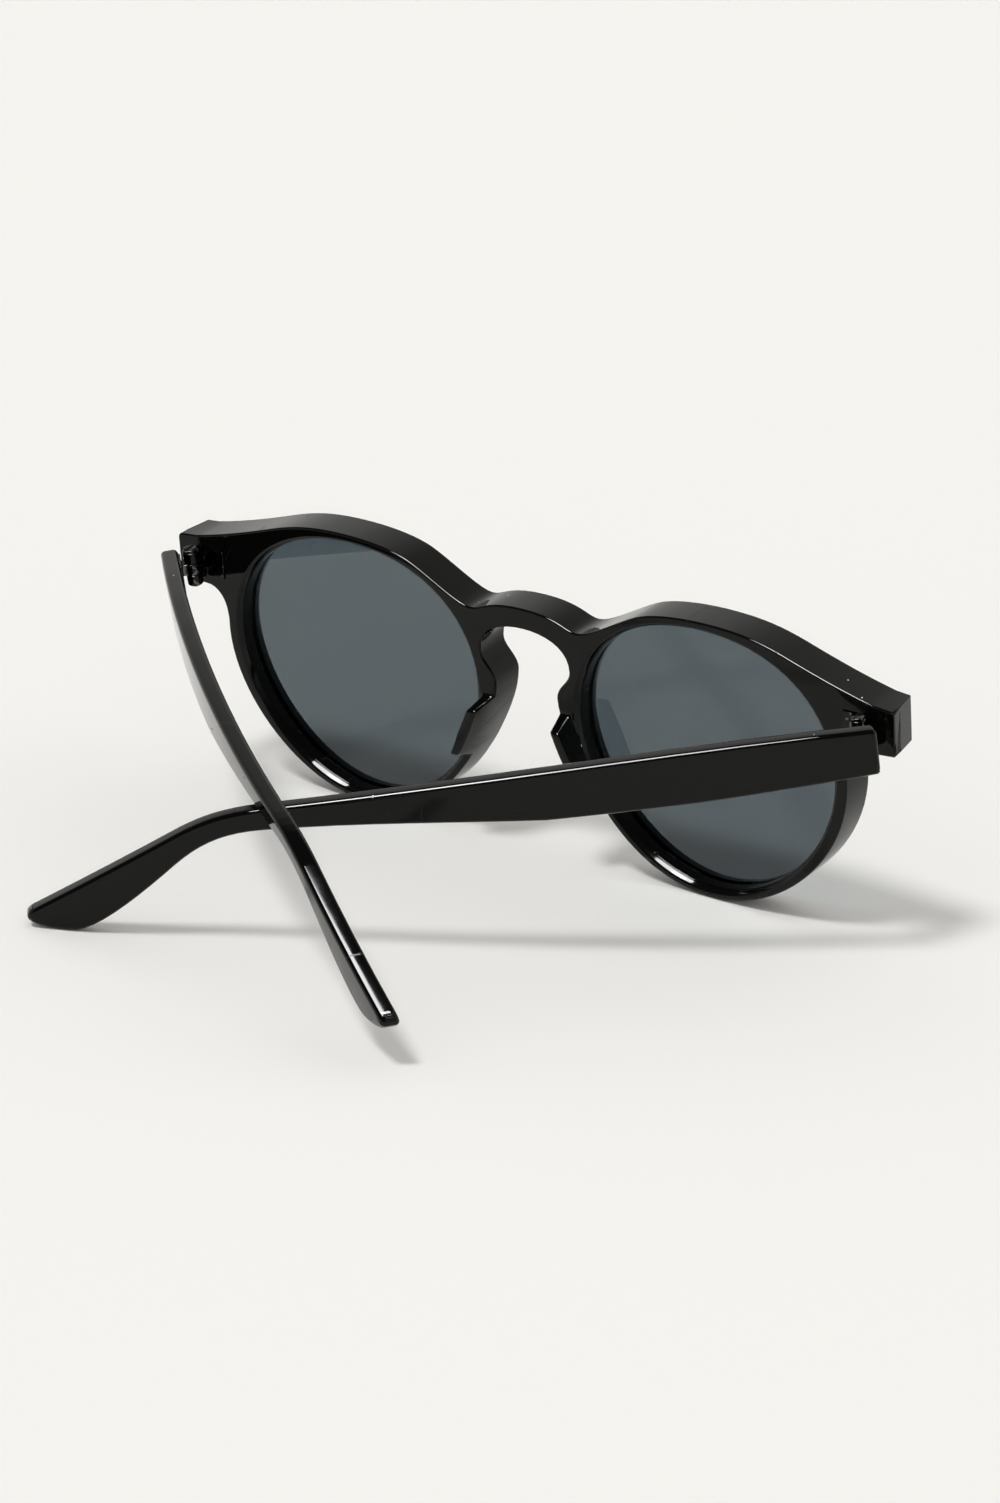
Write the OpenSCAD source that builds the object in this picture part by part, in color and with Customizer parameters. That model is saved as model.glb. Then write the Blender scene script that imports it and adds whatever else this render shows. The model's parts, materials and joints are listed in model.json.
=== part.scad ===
// Round sunglasses with a keyhole bridge and folding temples.
// They stand on the lower edges of the two rims and on the tip of the right temple,
// with the left temple folded over the right one.
// +X is the wearer's right, +Y is the way the wearer looks, +Z is up.
// The origin is on the surface they stand on, below the middle of the bridge.

/* [Front] */
// Depth of the front from its rear face to its front face
front_t = 7.2; // [6.6:0.1:8]
// Width of each lens opening
lens_w = 50.4; // [49.6:0.1:50.8]
// Height of each lens opening
lens_h = 47.3; // [46.6:0.1:47.8]
// Gap between the two lens openings
lens_gap = 21.7; // [21.4:0.1:22.4]
// How much fuller the upper corners of the openings are than an oval
panto = 0.75; // [0.5:0.05:1]
// Width of the rim below the lens opening
rim_w = 1.8; // [1.7:0.1:2.4]
// Extra width of the rim beside the end piece
rim_side = 1; // [0:0.1:1.2]
// How far both edges of each opening are opened out
edge_flare = 0.7; // [0.3:0.1:0.9]

/* [Lenses] */
// Thickness of the lenses
lens_t = 1.8; // [1.4:0.1:2.2]
// How far the lenses lie in front of the rear face
lens_set_in = 3.2; // [2.8:0.1:3.6]
// Depth of the groove that holds the lens edge
groove_d = 0.7; // [0.5:0.05:0.9]
// Clearance between the lens edge and the bottom of its groove
lens_play = 0.03; // [0.01:0.01:0.1]

/* [Bridge] */
// Height of the bridge's upper edge
bridge_top = 45.3; // [45:0.1:46]
// Width of the brow above the lens opening
brow_w = 1.9; // [1.7:0.1:2.4]
// Height of the keyhole's crown
arch_top = 41.5; // [40.5:0.1:42]
// Half the width of the keyhole at its widest
keyhole_r = 9.2; // [8.8:0.1:9.5]
// Half the gap where the keyhole is narrowest
pinch_r = 6.35; // [5.8:0.05:6.8]
// Height of the narrowest place of the keyhole
pinch_z = 29.9; // [29.4:0.1:30.6]
// How far the nose pads stand out behind the front
pad_d = 4.5; // [3:0.1:5.2]
// Thickness of the nose pads
pad_t = 2.3; // [1.8:0.1:2.5]

/* [End pieces] */
// Length of the end piece, from the lens opening outwards
end_l = 12.55; // [12.2:0.05:12.8]
// Height of the end piece's upper edge
end_top = 43.5; // [43:0.1:44.2]
// Height of the end piece
end_h = 8.3; // [7.9:0.1:8.5]
// How much narrower the front face is at each end piece
end_taper = 1.2; // [0.4:0.1:1.6]

/* [Hinges] */
// Height of the middle of the hinge
hinge_z = 39.2; // [38.9:0.1:39.4]
// Distance of the hinge axis behind the rear face
hinge_back = 2.9; // [2.8:0.1:3.2]
// Outer radius of the hinge knuckles
knuckle_r = 1.4; // [1.3:0.05:1.5]
// Height of one hinge knuckle
knuckle_h = 2.1; // [1.8:0.1:2.2]
// Gap between neighbouring knuckles
knuckle_gap = 0.1; // [0.05:0.01:0.15]
// Radius of the hinge screw
screw_r = 0.7; // [0.5:0.05:0.8]
// Running clearance of the screw in the knuckles
screw_play = 0.03; // [0.02:0.01:0.08]
// Length of the hinge plates
plate_l = 5.6; // [4.6:0.1:6]
// Thickness of the hinge plates
plate_t = 1; // [0.8:0.1:1.1]
// Height of the hinge plates
plate_h = 5.2; // [4.6:0.1:5.2]

/* [Temples] */
// Length from the hinge axis to the tip
temple_l = 138.4; // [138:0.1:140]
// Thickness of the temples
temple_t = 3; // [2.8:0.05:3.1]
// Height of the temple at its root
root_h = 8.1; // [7.8:0.1:8.3]
// Height of the temple at its slim part before the bend
neck_h = 4; // [3.8:0.05:4.2]
// Distance from the hinge axis to the bend over the ear
bend_s = 97; // [95:0.5:99]
// How far the tip hangs below the root's upper edge
tip_drop = 20.2; // [20:0.05:20.4]
// Radius of the temple's inward bow, seen from above
bow_r = 457; // [450:1:465]

/* [Pose] */
// Lean of the front towards the temples as it stands
lean = 7.7; // [7.4:0.1:8]
// Angle of the right temple from closed
right_fold = 42.2; // [41.8:0.1:42.6]
// Angle of the left temple from closed
left_fold = 47.6; // [47.2:0.1:48]
// Slope of the right temple below its hinge
right_pitch = 5.1; // [5:0.1:5.2]
// Slope of the left temple above its hinge
left_rise = 2.9; // [2.85:0.05:3.05]
// Lean of the left hinge axis towards the temples
left_axis_back = 7.4; // [7.3:0.1:7.5]

/* [Hidden] */

RIGHT = 1;
LEFT = -1;
round_fn = 48;                        // facets of the round parts
curve_n = 9;                          // steps in one free curve
corner_n = 3;                         // steps in one rounded corner
lens_step = 4;                        // degrees between points of a lens outline
corner = 0.8;                         // corner radius of the end pieces and temple roots
root_past = 2.3;                      // length of the temple past the hinge axis
root_gap = 2.2;                       // gap between the hinge axis and the temple
plate_out = 0.3;                      // height of a hinge plate over the surface it sits in
neck_w = 2;                           // width of the webs between plates and knuckles
screw_head_h = 0.5;
screw_tail = 0.5;                     // length of the screw below the lowest knuckle
slot_w = 0.3;
through = 1;                          // how far cutting shapes run past what they cut
flush = 0.01;                         // the same for shapes that end at a face
rear_flare_d = 1;                     // depth of the opened out rear edge

end_x = lens_gap / 2 + lens_w + end_l;  // half the width of the front
hinge_x = end_x - temple_t - root_gap;
lens_x = (lens_gap + lens_w) / 2;
root_top = end_top - 1.1;             // height of the temple's upper edge at the hinge
root_rise = root_top - hinge_z;         // height of that edge above the middle of the hinge
stack_h = 3 * knuckle_h + 2 * knuckle_gap;

// a point on a cubic curve with ends a and d and handles b and c
function on_curve(a, b, c, d, t) =
    pow(1 - t, 3) * a + 3 * t * pow(1 - t, 2) * b + 3 * t * t * (1 - t) * c + pow(t, 3) * d;

// the points of a cubic curve without its last one
function curve(a, b, c, d, n = curve_n) = [for (i = [0 : n - 1]) on_curve(a, b, c, d, i / n)];

// radius of the lens opening at an angle measured from the temple side
function lens_r(angle) =
    (lens_w + lens_h) / 4 + (lens_w - lens_h) / 4 * cos(2 * angle) + panto * sin(3 * angle);

// width of the rim at that angle
function rim_at(angle) = rim_w + rim_side * pow(max(0, cos(angle)), 3);

// height of the lens centre that puts the lowest point of the rim on the ground
lens_z = max([for (a = [200 : lens_step : 340]) -(lens_r(a) + rim_at(a)) * sin(a)]);

// a point at the given distance outside the lens opening
function lens_point(angle, out) =
    [lens_x + (lens_r(angle) + out) * cos(angle), lens_z + (lens_r(angle) + out) * sin(angle)];

function lens_outline(out) = [for (i = [0 : 360 / lens_step - 1]) lens_point(i * lens_step, out)];

function rim_point(angle) = lens_point(angle, rim_at(angle));

// direction of the rim's outer edge towards growing angles
function rim_way(angle) =
    let (step = rim_point(angle + 1) - rim_point(angle - 1)) step / norm(step);

// Nose side of the right half, from the crown of the keyhole to the lower rim
nose_low = [11.3, 16.8];
rim_from = 222;
keyhole_side = curve([0, arch_top], [5.2, arch_top], [keyhole_r, arch_top - 2], [keyhole_r, 35.6]);
pinch_side = curve([keyhole_r, 35.6], [keyhole_r, 33.4], [pinch_r, pinch_z + 2.7], [pinch_r, pinch_z]);
pad_side = curve([pinch_r, pinch_z], [pinch_r, 26.5], nose_low + [-2.7, 4.8], nose_low);
low_side = curve(nose_low, nose_low + [1.5, -2.6],
                 rim_point(rim_from) - 3 * rim_way(rim_from), rim_point(rim_from));

// Lower and outer rim, up to the underside of the end piece
rim_to = 366;
rim_side_points = [for (a = [rim_from : lens_step : rim_to - 1]) rim_point(a)];
end_low = end_top - end_h;
under_in = [end_x - 5.5, end_low - 0.3];
under_side = curve(rim_point(rim_to), rim_point(rim_to) + 2.7 * rim_way(rim_to),
                   under_in + [-2.9, -0.1], under_in);

// End piece, brow and bridge, back to the middle
low_corner = curve([end_x - corner, end_low], [end_x - corner / 2, end_low],
                   [end_x, end_low + corner / 2], [end_x, end_low + corner], corner_n);
top_corner = curve([end_x, end_top - corner], [end_x, end_top - corner / 2],
                   [end_x - corner / 2, end_top], [end_x - corner, end_top], corner_n);
brow_top = lens_z + lens_r(90) + brow_w;
brow_out = [lens_x + 16.9, brow_top - 2.4];
brow_in = [lens_x + 1.2, brow_top];
brow_nose = [lens_x - 12.7, brow_top - 2];
valley = [11, bridge_top - 2.1];
end_flat = [end_x - 3.8, end_top + 0.2];
end_side = curve(end_flat, end_flat + [-6, 1.3], brow_out + [5.5, -1.85], brow_out);
brow_side = curve(brow_out, brow_out + [-5.5, 1.85], brow_in + [6, 0], brow_in);
nose_side = curve(brow_in, brow_in + [-5, 0], brow_nose + [3.2, 1.4], brow_nose);
valley_side = curve(brow_nose, brow_nose + [-4, -1.75], valley + [2.6, 0], valley);
bridge_side = curve(valley, valley + [-2.4, 0], [7.6, bridge_top], [0, bridge_top]);

right_half = concat(keyhole_side, pinch_side, pad_side, low_side, rim_side_points, under_side,
                    low_corner, top_corner, end_side, brow_side, nose_side, valley_side,
                    bridge_side, [[0, bridge_top]]);

// Everything that belongs to the front is drawn with the front upright
module standing() {
    rotate([lean, 0, 0]) children();
}

module on_side(side) {
    mirror([side == LEFT ? 1 : 0, 0, 0]) children();
}

// Turns an outline in X and Z into a plate between two depths
module plate(from_y, to_y) {
    translate([0, to_y, 0]) rotate([90, 0, 0]) linear_extrude(height = to_y - from_y) children();
}

// Puts a hinge part at its axis, with the axis upright
module at_hinge(side) {
    tilt = side == LEFT ? left_axis_back : 0;
    standing() on_side(side) translate([hinge_x, -hinge_back, hinge_z])
        rotate([tilt, 0, 0]) children();
}

// Puts a temple part at its hinge, with the temple along +X and its outer face towards +Y
module at_temple(side) {
    fold = side == LEFT ? left_fold : right_fold;
    pitch = side == LEFT ? -left_rise : right_pitch;
    at_hinge(side) rotate([0, 0, 180 + fold]) translate([0, 0, root_rise])
        rotate([0, pitch, 0]) children();
}

// Front

module lens_opening() {
    plate(-2 * pad_d, front_t + through) polygon(lens_outline(0));
    plate(lens_set_in, lens_set_in + lens_t) polygon(lens_outline(groove_d));
}

// an edge of a lens opening that is opened out from one depth to the next
module flare(from_y, to_y) {
    widest = (lens_w / 2 + edge_flare) / (lens_w / 2);
    turn = to_y > from_y ? -90 : 90;
    translate([lens_x, from_y, lens_z]) rotate([turn, 0, 0])
        linear_extrude(height = abs(to_y - from_y), scale = widest)
            mirror([0, turn < 0 ? 1 : 0, 0]) translate([-lens_x, -lens_z]) polygon(lens_outline(0));
}

// outline of a nose pad along the nose side of the rim
pad_edge = concat(pad_side, low_side);
module pad_outline(from_point, to_point, shift, thick) {
    edge = [for (i = [from_point : to_point]) pad_edge[i] + [shift, 0]];
    back = [for (i = [to_point : -1 : from_point]) pad_edge[i] + [shift + thick, 0]];
    polygon(concat(edge, back));
}

// the pad leans away from the nose and gets thinner towards its rear edge
module nose_pad() {
    pad_first = 2;
    pad_last = curve_n + 2;
    pad_root = 1;
    pad_lean = 0.7;
    pad_taper = 0.5;
    pad_land = 0.3;
    hull() {
        plate(0, pad_root) pad_outline(pad_first, pad_last, 2 * flush, pad_t);
        plate(-pad_d, pad_land - pad_d)
            pad_outline(pad_first + 1, pad_last - 2, pad_lean, pad_t - pad_taper);
    }
}

module hinge_pocket(side) {
    on_side(side) translate([hinge_x, -plate_out, hinge_z])
        translate([-plate_l + neck_w / 2, 0, -plate_h / 2])
            cube([plate_l, plate_t, plate_h]);
}

module front_half() {
    difference() {
        union() {
            plate(0, front_t) polygon(concat(right_half, [[0, arch_top]]));
            nose_pad();
        }
        lens_opening();
        flare(rear_flare_d, -flush);
        flare(lens_set_in + lens_t, front_t + flush);
        translate([end_x, 0, 0]) rotate([0, 0, atan(end_taper / front_t)])
            translate([0, -front_t, 0]) cube([front_t, 3 * front_t, 2 * end_top]);
    }
}

module front_frame() {
    color("#141414")
        standing() difference() {
            union() {
                front_half();
                mirror([1, 0, 0]) front_half();
            }
            hinge_pocket(RIGHT);
            hinge_pocket(LEFT);
        }
}

module lens(side) {
    color("#6f7a80", 0.6)
        standing() on_side(side)
            plate(lens_set_in, lens_set_in + lens_t) polygon(lens_outline(groove_d - lens_play));
}

// Hinges

module knuckle(low) {
    translate([0, 0, low]) difference() {
        cylinder(r = knuckle_r, h = knuckle_h, $fn = round_fn);
        translate([0, 0, -through])
            cylinder(r = screw_r + screw_play, h = knuckle_h + 2 * through, $fn = round_fn);
    }
}

// a web between the plate of a hinge and one of its knuckles, no higher than the plate
module web(low, reach) {
    from_z = max(low, -plate_h / 2);
    to_z = min(low + knuckle_h, plate_h / 2);
    difference() {
        translate([-neck_w / 2, 0, from_z]) cube([neck_w, reach, to_z - from_z]);
        translate([0, 0, low - through])
            cylinder(r = screw_r + screw_play, h = knuckle_h + 2 * through, $fn = round_fn);
    }
}

module front_hinge(side) {
    color("#1c1c1c") {
        at_hinge(side) for (low = [-stack_h / 2, stack_h / 2 - knuckle_h]) {
            knuckle(low);
            web(low, hinge_back);
        }
        standing() hinge_pocket(side);
    }
}

module temple_plate() {
    translate([-neck_w / 2, root_gap - plate_out, -root_rise - plate_h / 2])
        cube([plate_l, plate_t, plate_h]);
}

module temple_hinge(side) {
    fold = side == LEFT ? left_fold : right_fold;
    color("#1c1c1c") {
        at_hinge(side) rotate([0, 0, 180 + fold]) {
            knuckle(-knuckle_h / 2);
            web(-knuckle_h / 2, root_gap - plate_out / 2);
        }
        at_temple(side) temple_plate();
    }
}

module hinge_screw(side) {
    color("#c8a24a")
        at_hinge(side) {
            translate([0, 0, -stack_h / 2 - screw_tail])
                cylinder(r = screw_r, h = stack_h + screw_tail + screw_head_h / 2, $fn = round_fn);
            difference() {
                translate([0, 0, stack_h / 2])
                    cylinder(r = knuckle_r - 0.2, h = screw_head_h, $fn = round_fn);
                translate([-slot_w / 2, -knuckle_r, stack_h / 2 + screw_head_h / 2])
                    cube([slot_w, 2 * knuckle_r, screw_head_h]);
            }
        }
}

// Temples

tip = [temple_l, 2.9 - tip_drop];
bend = [bend_s, 0.1];
slim_s = 0.485 * bend_s;              // where the temple begins to get slimmer
deep_s = 0.29 * bend_s;               // where it is still as high as at its root
low_point = [temple_l - 8, -tip_drop];
neck = [bend_s + 0.5, -(neck_h - 0.1)];
paddle = neck + [15, -5.2];
temple_outline = concat(
    curve([corner - root_past, 0], [deep_s, 2.6], [0.67 * bend_s, 1.3], bend),
    curve(bend, bend + [7, -0.35], bend + [10.5, -1.7], bend + [15, -3.8]),
    curve(tip + [-1.6, 1.3], tip + [-0.5, 0.7], tip + [0, 0], tip + [-0.4, -0.7]),
    curve(tip + [-0.4, -0.7], tip + [-1.4, -2], low_point + [2.8, 0], low_point),
    curve(low_point, low_point + [-3.4, 0], paddle + [7, -5.6], paddle),
    curve(paddle, paddle + [-4.5, 3.5], neck + [6.5, 0], neck),
    curve(neck, [0.825 * bend_s, 0.15 - neck_h], [0.64 * bend_s, 1.6 - root_h],
          [slim_s, 0.25 - root_h]),
    curve([deep_s, 0.1 - root_h], [deep_s - 10, -root_h], [deep_s - 20, -root_h],
          [corner - root_past, -root_h]),
    curve([corner - root_past, -root_h], [corner / 2 - root_past, -root_h],
          [-root_past, corner / 2 - root_h], [-root_past, corner - root_h], corner_n),
    curve([-root_past, -corner], [-root_past, -corner / 2],
          [corner / 2 - root_past, 0], [corner - root_past, 0], corner_n));

module temple(side) {
    outer_y = root_gap + temple_t;
    color("#141414")
        at_temple(side) difference() {
            intersection() {
                plate(-temple_l / 4, temple_l / 4) polygon(temple_outline);
                translate([-root_past, outer_y - bow_r, -2 * tip_drop]) difference() {
                    cylinder(r = bow_r, h = 3 * tip_drop, $fn = 5 * round_fn);
                    translate([0, 0, -through])
                        cylinder(r = bow_r - temple_t, h = 3 * tip_drop + 2 * through,
                                 $fn = 5 * round_fn);
                }
            }
            temple_plate();
        }
}

front_frame();
lens(LEFT);  // left_lens
lens(RIGHT);  // right_lens
temple(LEFT);  // left_temple
temple(RIGHT);  // right_temple
front_hinge(LEFT);  // left_front_hinge
front_hinge(RIGHT);  // right_front_hinge
temple_hinge(LEFT);  // left_temple_hinge
temple_hinge(RIGHT);  // right_temple_hinge
hinge_screw(LEFT);  // left_hinge_screw
hinge_screw(RIGHT);  // right_hinge_screw
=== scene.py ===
import json
import math

import bmesh
import bpy
from mathutils import Matrix, Vector
from mathutils.bvhtree import BVHTree

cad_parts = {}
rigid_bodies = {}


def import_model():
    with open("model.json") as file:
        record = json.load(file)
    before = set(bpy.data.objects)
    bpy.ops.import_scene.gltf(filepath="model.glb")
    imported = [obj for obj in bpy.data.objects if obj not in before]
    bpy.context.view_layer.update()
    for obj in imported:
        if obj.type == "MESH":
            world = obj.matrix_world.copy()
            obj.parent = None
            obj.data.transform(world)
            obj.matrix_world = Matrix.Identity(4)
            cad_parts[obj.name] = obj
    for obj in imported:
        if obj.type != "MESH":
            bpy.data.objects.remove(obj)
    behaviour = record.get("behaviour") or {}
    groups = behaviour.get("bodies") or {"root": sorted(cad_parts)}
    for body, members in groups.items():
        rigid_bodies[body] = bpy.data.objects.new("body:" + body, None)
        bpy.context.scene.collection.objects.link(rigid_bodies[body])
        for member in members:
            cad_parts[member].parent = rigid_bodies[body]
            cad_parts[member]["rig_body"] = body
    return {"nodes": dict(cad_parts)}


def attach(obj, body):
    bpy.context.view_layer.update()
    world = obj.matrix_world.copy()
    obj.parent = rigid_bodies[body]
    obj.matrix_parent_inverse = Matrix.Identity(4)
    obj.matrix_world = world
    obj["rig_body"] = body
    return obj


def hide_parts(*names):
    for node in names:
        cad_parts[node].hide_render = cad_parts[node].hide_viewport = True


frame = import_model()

scene = bpy.context.scene
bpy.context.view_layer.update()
mm = 0.001
print("round sunglasses: solids loaded")


# Camera: a long lens a metre away, behind the wearer's right end and a little above

photoCamera = {
    "azimuth": 35.24,       # degrees round from looking along +Y
    "elevation": 19.91,
    "roll": 1.5,
    "distance": 1.0,
    "target": (-7.868 * mm, 0.067 * mm, 15.93 * mm),
    "lens": 140,            # mm on a 36 mm long side
}


def makeCamera(settings):
    azimuth = math.radians(settings["azimuth"])
    elevation = math.radians(settings["elevation"])
    back = Vector((math.sin(azimuth) * math.cos(elevation),
                   -math.cos(azimuth) * math.cos(elevation),
                   math.sin(elevation)))
    right = Vector((math.cos(azimuth), math.sin(azimuth), 0))
    facing = Matrix((right, back.cross(right), back)).transposed().to_4x4()
    camera = bpy.data.objects.new("photoCamera", bpy.data.cameras.new("photoCamera"))
    camera.data.lens = settings["lens"]
    camera.data.sensor_width = 36
    camera.data.clip_start = 0.05
    camera.data.clip_end = 30
    place = Vector(settings["target"]) + back * settings["distance"]
    turn = Matrix.Rotation(math.radians(settings["roll"]), 4, "Z")
    camera.matrix_world = Matrix.Translation(place) @ facing @ turn
    scene.collection.objects.link(camera)
    scene.camera = camera


makeCamera(photoCamera)
print("camera set")


# Node helpers

def newMaterial(name):
    material = bpy.data.materials.new(name)
    material.use_nodes = True
    nodes = material.node_tree.nodes
    return material, nodes, material.node_tree.links, nodes["Principled BSDF"]


def addNode(nodes, kind, **settings):
    node = nodes.new(kind)
    for key, value in settings.items():
        setattr(node, key, value)
    return node


def newGroup(name, inputs, outputs):
    group = bpy.data.node_groups.new(name, "ShaderNodeTree")
    for label, default in inputs.items():
        socket = group.interface.new_socket(label, in_out="INPUT", socket_type="NodeSocketFloat")
        socket.default_value = default
    for label in outputs:
        group.interface.new_socket(label, in_out="OUTPUT", socket_type="NodeSocketFloat")
    return group, group.nodes, group.links


# Effects shared by the materials

def makeDustGroup():
    group, nodes, links = newGroup("dustSpecks", {"Spacing": 5.0, "Size": 0.03}, ["Mask"])
    values = addNode(nodes, "NodeGroupInput")
    result = addNode(nodes, "NodeGroupOutput")
    place = addNode(nodes, "ShaderNodeTexCoord")
    density = addNode(nodes, "ShaderNodeMath", operation="DIVIDE")
    density.inputs[0].default_value = 1000        # cells in a metre, for a spacing in mm
    links.new(values.outputs["Spacing"], density.inputs[1])
    cells = addNode(nodes, "ShaderNodeTexVoronoi")
    cells.inputs["Randomness"].default_value = 1
    links.new(place.outputs["Object"], cells.inputs["Vector"])
    links.new(density.outputs[0], cells.inputs["Scale"])
    sizes = addNode(nodes, "ShaderNodeSeparateColor")
    links.new(cells.outputs["Color"], sizes.inputs[0])
    grown = addNode(nodes, "ShaderNodeMath", operation="MULTIPLY")
    links.new(sizes.outputs[0], grown.inputs[0])   # every speck has its own size
    links.new(values.outputs["Size"], grown.inputs[1])
    speck = addNode(nodes, "ShaderNodeMath", operation="LESS_THAN")
    links.new(cells.outputs["Distance"], speck.inputs[0])
    links.new(grown.outputs[0], speck.inputs[1])
    links.new(speck.outputs[0], result.inputs["Mask"])
    return group


def makeScratchGroup():
    group, nodes, links = newGroup("hairScratches", {"Density": 90.0, "Width": 0.02, "Share": 0.55},
                                   ["Mask"])
    values = addNode(nodes, "NodeGroupInput")
    result = addNode(nodes, "NodeGroupOutput")
    place = addNode(nodes, "ShaderNodeTexCoord")
    lay = addNode(nodes, "ShaderNodeMapping")
    lay.inputs["Rotation"].default_value = (0.5, 0.35, 0.7)
    lay.inputs["Scale"].default_value = (1, 0.16, 1)
    links.new(place.outputs["Object"], lay.inputs["Vector"])
    cells = addNode(nodes, "ShaderNodeTexVoronoi", feature="DISTANCE_TO_EDGE")
    links.new(lay.outputs[0], cells.inputs["Vector"])
    links.new(values.outputs["Density"], cells.inputs["Scale"])
    line = addNode(nodes, "ShaderNodeMath", operation="LESS_THAN")
    links.new(cells.outputs["Distance"], line.inputs[0])
    links.new(values.outputs["Width"], line.inputs[1])
    patches = addNode(nodes, "ShaderNodeTexNoise")
    patches.inputs["Scale"].default_value = 170
    links.new(place.outputs["Object"], patches.inputs["Vector"])
    here = addNode(nodes, "ShaderNodeMath", operation="GREATER_THAN")
    links.new(patches.outputs[0], here.inputs[0])
    links.new(values.outputs["Share"], here.inputs[1])
    both = addNode(nodes, "ShaderNodeMath", operation="MULTIPLY")
    links.new(line.outputs[0], both.inputs[0])
    links.new(here.outputs[0], both.inputs[1])
    links.new(both.outputs[0], result.inputs["Mask"])
    return group


def makeHandlingGroup():
    group, nodes, links = newGroup("handlingMarks", {"Low": 0.1, "High": 0.2, "Scale": 60.0},
                                   ["Roughness"])
    values = addNode(nodes, "NodeGroupInput")
    result = addNode(nodes, "NodeGroupOutput")
    place = addNode(nodes, "ShaderNodeTexCoord")
    smears = addNode(nodes, "ShaderNodeTexNoise")
    smears.inputs["Detail"].default_value = 6
    smears.inputs["Distortion"].default_value = 0.6
    links.new(place.outputs["Object"], smears.inputs["Vector"])
    links.new(values.outputs["Scale"], smears.inputs["Scale"])
    spread = addNode(nodes, "ShaderNodeMapRange")
    spread.inputs["From Min"].default_value = 0.35
    spread.inputs["From Max"].default_value = 0.68
    links.new(smears.outputs[0], spread.inputs["Value"])
    links.new(values.outputs["Low"], spread.inputs["To Min"])
    links.new(values.outputs["High"], spread.inputs["To Max"])
    links.new(spread.outputs[0], result.inputs["Roughness"])
    return group


dustGroup = makeDustGroup()
scratchGroup = makeScratchGroup()
handlingGroup = makeHandlingGroup()


def placeGroup(nodes, group, **values):
    node = addNode(nodes, "ShaderNodeGroup", node_tree=group)
    for label, value in values.items():
        node.inputs[label].default_value = value
    return node


# Polished black plastic of the front and the temples

blackPlastic = {
    "index": 1.28,          # real plastic has about 1.5, lower keeps the black deep in a pale studio
    "colour": (0.002, 0.002, 0.0019, 1),
    "dustColour": (0.62, 0.61, 0.58, 1),
    "dustSpacing": 4.5,     # mm between specks
    "dustSize": 0.038,      # of that spacing
    "lintSpacing": 17,      # mm between the few larger bits of lint
    "lintSize": 0.024,
    "scratchDensity": 95,
    "scratchWidth": 0.012,
    "scratchShare": 0.58,
    "scratchRoughness": 0.25,
    "scratchHeight": -0.003,
    "roughnessLow": 0.03,
    "roughnessHigh": 0.08,
    "handlingScale": 70,
    "waviness": 0.012,      # height of the polish's slow waves, in the bump
    "waveScale": 120,
    "bumpStrength": 0.35,
}


def makePlastic(name, look):
    material, nodes, links, shader = newMaterial(name)
    shader.inputs["IOR"].default_value = look["index"]
    dust = placeGroup(nodes, dustGroup, Spacing=look["dustSpacing"], Size=look["dustSize"])
    scratches = placeGroup(nodes, scratchGroup, Density=look["scratchDensity"],
                           Width=look["scratchWidth"], Share=look["scratchShare"])
    handling = placeGroup(nodes, handlingGroup, Low=look["roughnessLow"],
                          High=look["roughnessHigh"], Scale=look["handlingScale"])
    colour = addNode(nodes, "ShaderNodeMix", data_type="RGBA")
    colour.inputs["A"].default_value = look["colour"]
    colour.inputs["B"].default_value = look["dustColour"]
    lint = placeGroup(nodes, dustGroup, Spacing=look["lintSpacing"], Size=look["lintSize"])
    specks = addNode(nodes, "ShaderNodeMath", operation="MAXIMUM")
    links.new(dust.outputs["Mask"], specks.inputs[0])
    links.new(lint.outputs["Mask"], specks.inputs[1])
    links.new(specks.outputs[0], colour.inputs["Factor"])
    links.new(colour.outputs["Result"], shader.inputs["Base Color"])
    rough = addNode(nodes, "ShaderNodeMath", operation="MULTIPLY_ADD", use_clamp=True)
    links.new(scratches.outputs["Mask"], rough.inputs[0])
    rough.inputs[1].default_value = look["scratchRoughness"]
    links.new(handling.outputs["Roughness"], rough.inputs[2])
    links.new(rough.outputs[0], shader.inputs["Roughness"])
    place = addNode(nodes, "ShaderNodeTexCoord")
    waves = addNode(nodes, "ShaderNodeTexNoise")
    waves.inputs["Scale"].default_value = look["waveScale"]
    waves.inputs["Detail"].default_value = 1
    links.new(place.outputs["Object"], waves.inputs["Vector"])
    height = addNode(nodes, "ShaderNodeMath", operation="MULTIPLY_ADD")
    links.new(waves.outputs[0], height.inputs[0])
    height.inputs[1].default_value = look["waviness"]
    lowered = addNode(nodes, "ShaderNodeMath", operation="MULTIPLY")
    links.new(scratches.outputs["Mask"], lowered.inputs[0])
    lowered.inputs[1].default_value = look["scratchHeight"]
    links.new(lowered.outputs[0], height.inputs[2])
    bump = addNode(nodes, "ShaderNodeBump")
    bump.inputs["Strength"].default_value = look["bumpStrength"]
    bump.inputs["Distance"].default_value = 1 * mm
    links.new(height.outputs[0], bump.inputs["Height"])
    links.new(bump.outputs[0], shader.inputs["Normal"])
    return material


# Tinted lenses, with painted shade darkening their foot

lensGlass = {
    "index": 1.5,
    "tint": (0.078, 0.102, 0.117, 1),
    "paintedShadeTint": (0.044, 0.057, 0.066, 1),   # painted shade: a darker tint at the foot, standing in for the shaded floor seen through it
    "paintedShadeBelow": 7 * mm,
    "paintedShadeFrom": 13 * mm,
    "shade": (0.2, 0.22, 0.23, 1),          # of the light that falls through to the floor
    "dustColour": (0.6, 0.6, 0.58, 1),
    "dustSpacing": 8,
    "dustSize": 0.018,
    "roughnessLow": 0.0,
    "roughnessHigh": 0.012,
    "handlingScale": 45,
}


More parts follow.
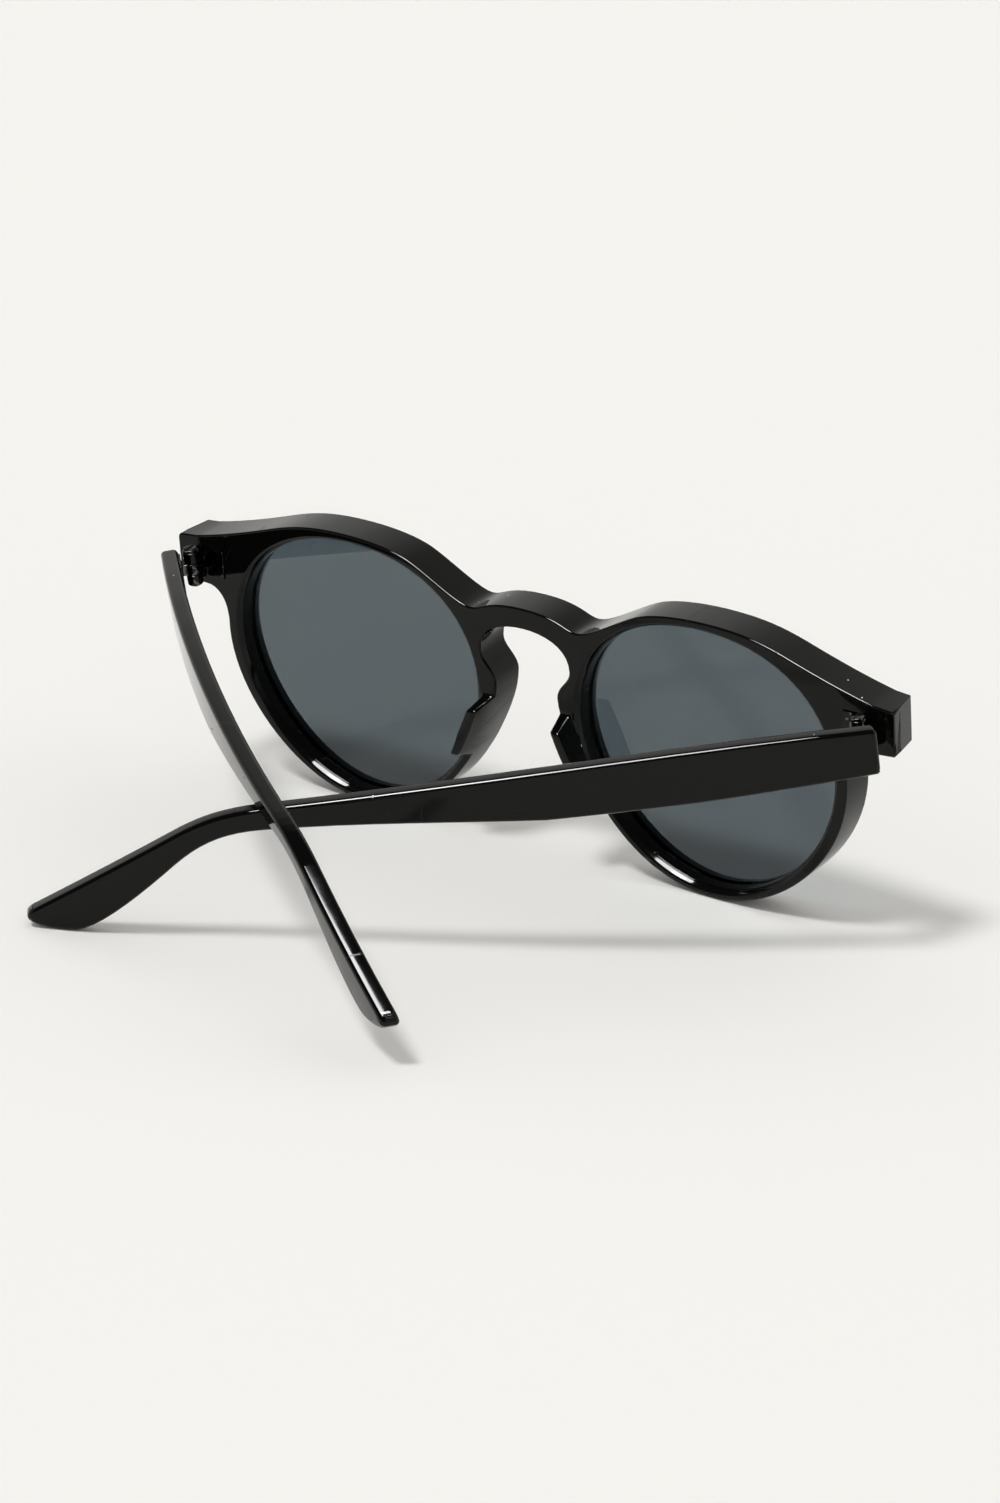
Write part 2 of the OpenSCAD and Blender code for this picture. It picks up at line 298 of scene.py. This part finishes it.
def makeGlass(name, look):
    material, nodes, links, shader = newMaterial(name)
    shader.inputs["Transmission Weight"].default_value = 1
    shader.inputs["IOR"].default_value = look["index"]
    dust = placeGroup(nodes, dustGroup, Spacing=look["dustSpacing"], Size=look["dustSize"])
    handling = placeGroup(nodes, handlingGroup, Low=look["roughnessLow"],
                          High=look["roughnessHigh"], Scale=look["handlingScale"])
    colour = addNode(nodes, "ShaderNodeMix", data_type="RGBA")
    place = addNode(nodes, "ShaderNodeTexCoord")
    parts = addNode(nodes, "ShaderNodeSeparateXYZ")
    links.new(place.outputs["Object"], parts.inputs[0])
    # painted shade: the lens colour darkens towards the foot of the lens, by height
    paintedShadeFoot = addNode(nodes, "ShaderNodeMapRange", interpolation_type="SMOOTHSTEP")
    paintedShadeFoot.inputs["From Min"].default_value = look["paintedShadeFrom"]
    paintedShadeFoot.inputs["From Max"].default_value = look["paintedShadeBelow"]
    links.new(parts.outputs["Z"], paintedShadeFoot.inputs["Value"])
    tint = addNode(nodes, "ShaderNodeMix", data_type="RGBA")
    tint.inputs["A"].default_value = look["tint"]
    tint.inputs["B"].default_value = look["paintedShadeTint"]
    links.new(paintedShadeFoot.outputs["Result"], tint.inputs["Factor"])
    links.new(tint.outputs["Result"], colour.inputs["A"])
    colour.inputs["B"].default_value = look["dustColour"]
    links.new(dust.outputs["Mask"], colour.inputs["Factor"])
    links.new(colour.outputs["Result"], shader.inputs["Base Color"])
    links.new(handling.outputs["Roughness"], shader.inputs["Roughness"])
    clear = addNode(nodes, "ShaderNodeBsdfTransparent")
    clear.inputs["Color"].default_value = look["shade"]
    path = addNode(nodes, "ShaderNodeLightPath")
    either = addNode(nodes, "ShaderNodeMixShader")
    links.new(path.outputs["Is Shadow Ray"], either.inputs[0])
    links.new(shader.outputs[0], either.inputs[1])
    links.new(clear.outputs[0], either.inputs[2])
    links.new(either.outputs[0], nodes["Material Output"].inputs["Surface"])
    return material


# Blackened hinge leaves and brass screws

hingeMetal = {
    "colour": (0.022, 0.022, 0.022, 1),
    "bare": (0.12, 0.115, 0.11, 1),
    "roughnessLow": 0.07,
    "roughnessHigh": 0.17,
}
screwBrass = {
    "colour": (0.03, 0.029, 0.028, 1),      # the head is blackened like the leaves
    "bare": (0.08, 0.07, 0.06, 1),
    "roughnessLow": 0.12,
    "roughnessHigh": 0.3,
    "shank": (0.62, 0.44, 0.19, 1),         # and the brass shows below it
    "headFrom": 39.5 * mm,
}
metalWear = {
    "density": 320,
    "width": 0.05,
    "share": 0.5,
    "handlingScale": 400,
}


def makeMetal(name, look):
    material, nodes, links, shader = newMaterial(name)
    shader.inputs["Metallic"].default_value = 1
    wear = placeGroup(nodes, scratchGroup, Density=metalWear["density"],
                      Width=metalWear["width"], Share=metalWear["share"])
    handling = placeGroup(nodes, handlingGroup, Low=look["roughnessLow"],
                          High=look["roughnessHigh"], Scale=metalWear["handlingScale"])
    colour = addNode(nodes, "ShaderNodeMix", data_type="RGBA")
    colour.inputs["A"].default_value = look["colour"]
    colour.inputs["B"].default_value = look["bare"]
    links.new(wear.outputs["Mask"], colour.inputs["Factor"])
    links.new(colour.outputs["Result"], shader.inputs["Base Color"])
    if "shank" in look:
        place = addNode(nodes, "ShaderNodeTexCoord")
        parts = addNode(nodes, "ShaderNodeSeparateXYZ")
        links.new(place.outputs["Object"], parts.inputs[0])
        below = addNode(nodes, "ShaderNodeMath", operation="LESS_THAN")
        links.new(parts.outputs["Z"], below.inputs[0])
        below.inputs[1].default_value = look["headFrom"]
        whole = addNode(nodes, "ShaderNodeMix", data_type="RGBA")
        links.new(below.outputs[0], whole.inputs["Factor"])
        links.new(colour.outputs["Result"], whole.inputs["A"])
        whole.inputs["B"].default_value = look["shank"]
        links.new(whole.outputs["Result"], shader.inputs["Base Color"])
    links.new(handling.outputs["Roughness"], shader.inputs["Roughness"])
    return material


frontFinish = makePlastic("blackPlasticFront", blackPlastic)
templeFinish = makePlastic("blackPlasticTemple", blackPlastic)
lensFinish = makeGlass("tintedLens", lensGlass)
hingeFinish = makeMetal("blackenedHinge", hingeMetal)
screwFinish = makeMetal("brassScrew", screwBrass)
print("finishes made")


# Pieces: each solid gets its finish, and all but the lenses get rounded edges

def openedMesh(node, mergeBelow):
    bm = bmesh.new()
    bm.from_mesh(node.data)
    bmesh.ops.remove_doubles(bm, verts=bm.verts, dist=mergeBelow)
    bmesh.ops.dissolve_degenerate(bm, edges=bm.edges, dist=mergeBelow)
    return bm


def finishPiece(bm, name, nodeName, finish):
    mesh = bpy.data.meshes.new(name)
    bm.to_mesh(mesh)
    bm.free()
    mesh.materials.append(finish)
    piece = bpy.data.objects.new(name, mesh)
    scene.collection.objects.link(piece)
    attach(piece, frame["nodes"][nodeName]["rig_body"])
    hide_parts(nodeName)
    return piece


def roundEdges(piece, width, segments, sharpAngle, weigh):
    mesh = piece.data
    bm = bmesh.new()
    bm.from_mesh(mesh)
    weights = bm.edges.layers.float.new("bevel_weight_edge")
    for edge in bm.edges:
        sharp = len(edge.link_faces) == 2 and edge.calc_face_angle(0) > sharpAngle
        edge[weights] = weigh(edge) if sharp else 0
        edge.smooth = not (sharp and edge[weights] == 0)
    bm.to_mesh(mesh)
    bm.free()
    bevel = piece.modifiers.new("roundedEdges", "BEVEL")
    bevel.limit_method = "WEIGHT"
    bevel.width = width
    bevel.segments = segments
    bevel.use_clamp_overlap = False
    bevel.loop_slide = False
    bevel.harden_normals = False
    mesh.shade_smooth()
    smooth = piece.modifiers.new("flatFaces", "WEIGHTED_NORMAL")
    smooth.keep_sharp = True
    smooth.weight = 90


def surfaceOf(node):
    bm = bmesh.new()
    bm.from_mesh(node.data)
    tree = BVHTree.FromBMesh(bm)
    bm.free()
    return tree


hingeSurfaces = {}
for side in ("left", "right"):
    for part in ("front_hinge", "temple_hinge"):
        hingeSurfaces[side + "_" + part] = surfaceOf(frame["nodes"][side + "_" + part])


def middleOf(edge):
    return (edge.verts[0].co + edge.verts[1].co) / 2


def beside(edge, nodeName, reach=0.2 * mm):
    return hingeSurfaces[nodeName].find_nearest(middleOf(edge), reach)[0] is not None


frontEdges = {
    "mergeBelow": 0.03 * mm,
    "sharpAngle": math.radians(24),
    "segments": 4,
    "width": 0.5 * mm,
    "crisp": 0.7,           # share of that width along the brow and the end pieces
    "soft": 1.0,            # and round the lower rims and the pads
    "lensEdge": 0.7,        # and along the lens openings
    "grooveLip": 0.3,       # and where the wall of an opening meets its lens
    "softBelow": 30 * mm,
    "end": 0.3,             # and round the outer side of the end pieces
    "endFrom": 73 * mm,
    "grooveDepth": (2.7 * mm, 6 * mm),
    "lensCentre": (36.05 * mm, 26.2 * mm),
    "lensReach": 25.95 * mm,
}
lean = math.radians(7.7)


def frontWeight(edge):
    middle = middleOf(edge)
    depth = middle.y * math.cos(lean) + middle.z * math.sin(lean)
    height = middle.z * math.cos(lean) - middle.y * math.sin(lean)
    across = abs(middle.x)
    if frontEdges["grooveDepth"][0] < depth < frontEdges["grooveDepth"][1]:
        return frontEdges["grooveLip"] if edge.is_convex else 0
    if beside(edge, "left_front_hinge") or beside(edge, "right_front_hinge"):
        return 0
    if across > frontEdges["endFrom"]:
        return frontEdges["end"]
    centre = frontEdges["lensCentre"]
    if math.hypot(across - centre[0], height - centre[1]) < frontEdges["lensReach"]:
        return frontEdges["lensEdge"]
    return frontEdges["soft"] if height < frontEdges["softBelow"] else frontEdges["crisp"]


front = finishPiece(openedMesh(frame["nodes"]["front_frame"], frontEdges["mergeBelow"]),
                    "roundedFront", "front_frame", frontFinish)
roundEdges(front, frontEdges["width"], frontEdges["segments"], frontEdges["sharpAngle"], frontWeight)

templeEdges = {
    "mergeBelow": 0.01 * mm,
    "sharpAngle": math.radians(40),
    "segments": 4,
    "width": 0.75 * mm,
}


def templeWeight(edge, side):
    return 0 if beside(edge, side + "_temple_hinge") else 1


for side in ("left", "right"):
    temple = finishPiece(openedMesh(frame["nodes"][side + "_temple"], templeEdges["mergeBelow"]),
                         side + "TempleRounded", side + "_temple", templeFinish)
    roundEdges(temple, templeEdges["width"], templeEdges["segments"], templeEdges["sharpAngle"],
               lambda edge: templeWeight(edge, side))

hingeEdges = {
    "mergeBelow": 0.005 * mm,
    "sharpAngle": math.radians(30),
    "segments": 3,
    "width": 0.12 * mm,
}
for side in ("left", "right"):
    for part, slot, finish in (("front_hinge", "hinge_metal", hingeFinish),
                               ("temple_hinge", "hinge_metal", hingeFinish),
                               ("hinge_screw", "screw_brass", screwFinish)):
        nodeName = side + "_" + part
        piece = finishPiece(openedMesh(frame["nodes"][nodeName], hingeEdges["mergeBelow"]),
                            nodeName + "_rounded", nodeName, finish)
        roundEdges(piece, hingeEdges["width"], hingeEdges["segments"], hingeEdges["sharpAngle"],
                   lambda edge: 1)

for side in ("left", "right"):
    lens = frame["nodes"][side + "_lens"]
    lens.data.materials.clear()
    lens.data.materials.append(lensFinish)
print("pieces finished")


# Floor, world and lamps

studio = {
    "floorSize": 6,                         # metres, half of a side
    "floorDrop": 0.05 * mm,                 # below the sunglasses, so that no faces meet
    "floorColour": (0.90, 0.89, 0.86, 1),
    "floorRoughness": 0.9,
    "worldColour": (1, 0.995, 0.985, 1),
    "worldLight": 0.63,
    "backdropColour": (0.88, 0.87, 0.84, 1),
    "roomColour": (0.06, 0.06, 0.06, 1),    # reflections see this over the backdrop, but it lights nothing
    "roomAxis": (0, -0.6, 1),
    "backdropTop": (0.12, 0.72),            # where one fades into the other, along that axis
    "keyFrom": (-0.09, -0.45, 0.89),
    "keyPower": 1.36,
    "keyAngle": 12,                         # degrees across
    "glintPower": 11.5,                     # a second, wider lamp that is seen in the polish only
    "glintAngle": 31,
    "glintFrom": (-0.01, -0.40, 0.92),
}


def makeFloor(settings):
    bm = bmesh.new()
    bmesh.ops.create_grid(bm, x_segments=1, y_segments=1, size=settings["floorSize"])
    bmesh.ops.translate(bm, verts=bm.verts, vec=(0, 0, -settings["floorDrop"]))
    mesh = bpy.data.meshes.new("floor")
    bm.to_mesh(mesh)
    bm.free()
    floor = bpy.data.objects.new("floor", mesh)
    scene.collection.objects.link(floor)
    material, nodes, links, shader = newMaterial("floorPaper")
    shader.inputs["Base Color"].default_value = settings["floorColour"]
    shader.inputs["Roughness"].default_value = settings["floorRoughness"]
    shader.inputs["Specular IOR Level"].default_value = 0
    mesh.materials.append(material)


def makeWorld(settings):
    world = bpy.data.worlds.new("studio")
    world.use_nodes = True
    scene.world = world
    nodes = world.node_tree.nodes
    links = world.node_tree.links
    light = nodes["Background"]
    light.inputs["Color"].default_value = settings["worldColour"]
    light.inputs["Strength"].default_value = settings["worldLight"]
    seen = addNode(nodes, "ShaderNodeBackground")
    place = addNode(nodes, "ShaderNodeTexCoord")
    along = addNode(nodes, "ShaderNodeVectorMath", operation="DOT_PRODUCT")
    links.new(place.outputs["Generated"], along.inputs[0])
    along.inputs[1].default_value = settings["roomAxis"]
    height = addNode(nodes, "ShaderNodeMapRange")
    height.inputs["From Min"].default_value = settings["backdropTop"][0]
    height.inputs["From Max"].default_value = settings["backdropTop"][1]
    links.new(along.outputs["Value"], height.inputs["Value"])
    room = addNode(nodes, "ShaderNodeMix", data_type="RGBA")
    room.inputs["A"].default_value = settings["backdropColour"]
    room.inputs["B"].default_value = settings["roomColour"]
    links.new(height.outputs["Result"], room.inputs["Factor"])
    links.new(room.outputs["Result"], seen.inputs["Color"])
    path = addNode(nodes, "ShaderNodeLightPath")
    first = addNode(nodes, "ShaderNodeMath", operation="MAXIMUM")
    links.new(path.outputs["Is Camera Ray"], first.inputs[0])
    links.new(path.outputs["Is Glossy Ray"], first.inputs[1])
    either = addNode(nodes, "ShaderNodeMath", operation="MAXIMUM")
    links.new(first.outputs[0], either.inputs[0])
    links.new(path.outputs["Is Transmission Ray"], either.inputs[1])
    mix = addNode(nodes, "ShaderNodeMixShader")
    links.new(either.outputs[0], mix.inputs[0])
    links.new(light.outputs[0], mix.inputs[1])
    links.new(seen.outputs[0], mix.inputs[2])
    links.new(mix.outputs[0], nodes["World Output"].inputs["Surface"])


def makeLamp(name, comesFrom, angle, power):
    lamp = bpy.data.lights.new(name, "SUN")
    lamp.angle = math.radians(angle)
    lamp.energy = power
    holder = bpy.data.objects.new(name, lamp)
    holder.rotation_euler = Vector(comesFrom).to_track_quat("Z", "Y").to_euler()
    scene.collection.objects.link(holder)
    return holder


makeFloor(studio)
makeWorld(studio)
makeLamp("key", studio["keyFrom"], studio["keyAngle"], studio["keyPower"])
glint = makeLamp("glint", studio["glintFrom"], studio["glintAngle"], studio["glintPower"])
glint.visible_diffuse = False
scene.view_settings.view_transform = "Standard"
print("studio set")
